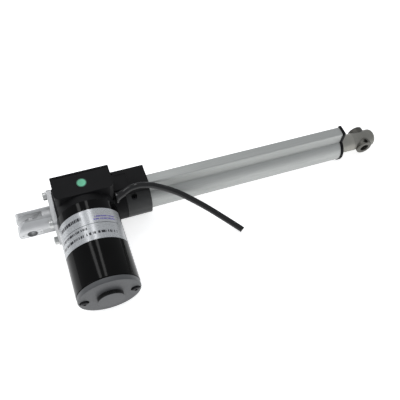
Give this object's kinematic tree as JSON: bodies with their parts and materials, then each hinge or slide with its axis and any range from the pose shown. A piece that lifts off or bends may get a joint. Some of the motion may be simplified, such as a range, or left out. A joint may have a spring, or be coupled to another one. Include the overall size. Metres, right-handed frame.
{
  "type": "linear actuator",
  "caption": "Electric linear actuator: a round motor at right angles to a gear housing, a channelled aluminium tube, and a steel rod that slides out; clevis at the rear, pin eye at the front.",
  "frame": {"origin": "middle of the rear clevis pin hole, on the spindle axis", "axes": "+X along the rod, the way it extends; the motor points along -Y, which is also the pins' direction; +Z is the side of the tube's channel and the motor block"},
  "size_m": [0.4183, 0.1373, 0.0773],
  "materials": {
    "cast_aluminium": "as-cast, lightly blasted",
    "black_rubber": "matt",
    "zinc_screw": "zinc plated",
    "housing_black": "moulded, fine texture",
    "clamp_grey": "moulded, slightly worn",
    "dark_screw": "black oxide",
    "green_sticker": "printed paper",
    "white_plastic": "moulded",
    "bearing_steel": "ground",
    "anodised_tube": "satin anodised, drawn lengthways",
    "rod_steel": "nickel plated, satin",
    "motor_black": "gloss black",
    "motor_grey": "satin grey",
    "label_silver": "silver film",
    "ferrite": "sintered",
    "bronze": "machined",
    "winding_copper": "lacquered",
    "board_green": "lacquered",
    "cable_black": "glossy PVC sheath"
  },
  "bodies": {
    "housing": {"rear_clevis": "cast_aluminium", "flange_gasket": "black_rubber", "cable_gland": "black_rubber", "flange_screw_1": "zinc_screw", "flange_screw_2": "zinc_screw", "flange_screw_3": "zinc_screw", "flange_screw_4": "zinc_screw", "gear_housing": "housing_black", "front_cap": "housing_black", "limit_switch_rear": "housing_black", "limit_switch_front": "housing_black", "tube_clamp": "clamp_grey", "clamp_screw": "dark_screw", "motor_screw_1": "dark_screw", "motor_screw_2": "dark_screw", "inspection_sticker": "green_sticker", "bearing_carrier": "white_plastic", "rod_guide": "white_plastic", "brush_holder": "white_plastic", "rear_screw_bearing": "bearing_steel", "front_screw_bearing": "bearing_steel", "worm_bearing": "bearing_steel", "motor_front_bearing": "bearing_steel", "motor_rear_bearing": "bearing_steel", "motor_front_plate": "bearing_steel", "outer_tube": "anodised_tube", "motor_can": "motor_black", "motor_end_cap": "motor_grey", "rating_label": "label_silver", "motor_magnet_1": "ferrite", "motor_magnet_2": "ferrite", "brush_1": "ferrite", "brush_2": "ferrite", "switch_strip": "board_green", "cable": "cable_black"},
    "rod": {"rod_tube": "rod_steel", "drive_nut": "white_plastic", "nut_key": "bronze", "rod_eye": "rod_steel", "eye_bush_1": "rod_steel", "eye_bush_2": "rod_steel"},
    "screw": {"lead_screw": "bearing_steel", "worm_wheel": "bronze", "lock_nut": "zinc_screw"},
    "rotor": {"motor_shaft": "bearing_steel", "worm": "bearing_steel", "armature": "winding_copper", "commutator": "winding_copper"}
  },
  "joints": [
    {"name": "motor_spin", "type": "hinge", "parent": "housing", "child": "rotor", "pos_m": [0.05566, 0, 0.02465], "axis": [0, -1, 0], "range_deg": [0, 180000]},
    {"name": "screw_spin", "type": "hinge", "parent": "housing", "child": "screw", "pos_m": [0, 0, 0], "axis": [-1, 0, 0], "range_deg": [0, 9000]},
    {"name": "rod_slide", "type": "slide", "parent": "housing", "child": "rod", "axis": [1, 0, 0], "range_m": [0, 0.2]}
  ],
  "couplings": [
    {"joint": "screw_spin", "follows": "motor_spin", "ratio": 0.05},
    {"joint": "rod_slide", "follows": "motor_spin", "m_per_rad": 0.000063661}
  ]
}
